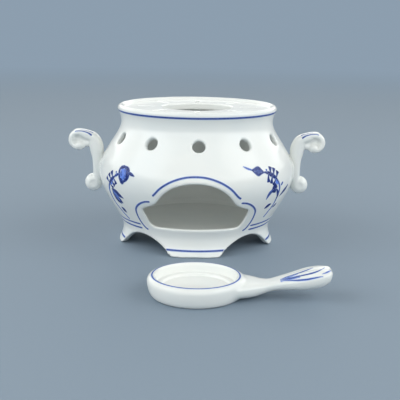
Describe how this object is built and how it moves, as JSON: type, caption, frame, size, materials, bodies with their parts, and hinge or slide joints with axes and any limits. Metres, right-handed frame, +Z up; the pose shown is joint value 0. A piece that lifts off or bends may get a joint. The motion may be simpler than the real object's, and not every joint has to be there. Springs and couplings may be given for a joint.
{
  "type": "teapot warmer",
  "caption": "Bellied glazed porcelain teapot warmer on flared feet, with an arched front opening, round vents, a pierced top plate, scroll side handles and a loose candle pan.",
  "frame": {"origin": "on the table, midway between the candle pan's front edge and the back of the warmer's belly, and midway between the two side handles", "axes": "+Z up, +Y from the candle pan towards the back of the warmer, +X to the right when facing the front opening"},
  "size_m": [0.188, 0.2328, 0.1],
  "materials": {
    "porcelain": "glossy white glaze with painted cobalt blue lines and sprays"
  },
  "bodies": {
    "warmer": {"warmer_body": "porcelain", "top_plate": "porcelain", "handle_left": "porcelain", "handle_right": "porcelain"},
    "pan": {"candle_pan": "porcelain", "pan_handle": "porcelain"}
  },
  "joints": [
    {"name": "pan_lift", "type": "slide", "parent": "warmer", "child": "pan", "axis": [0, 0, 1], "range_m": [0, 0.12]}
  ]
}
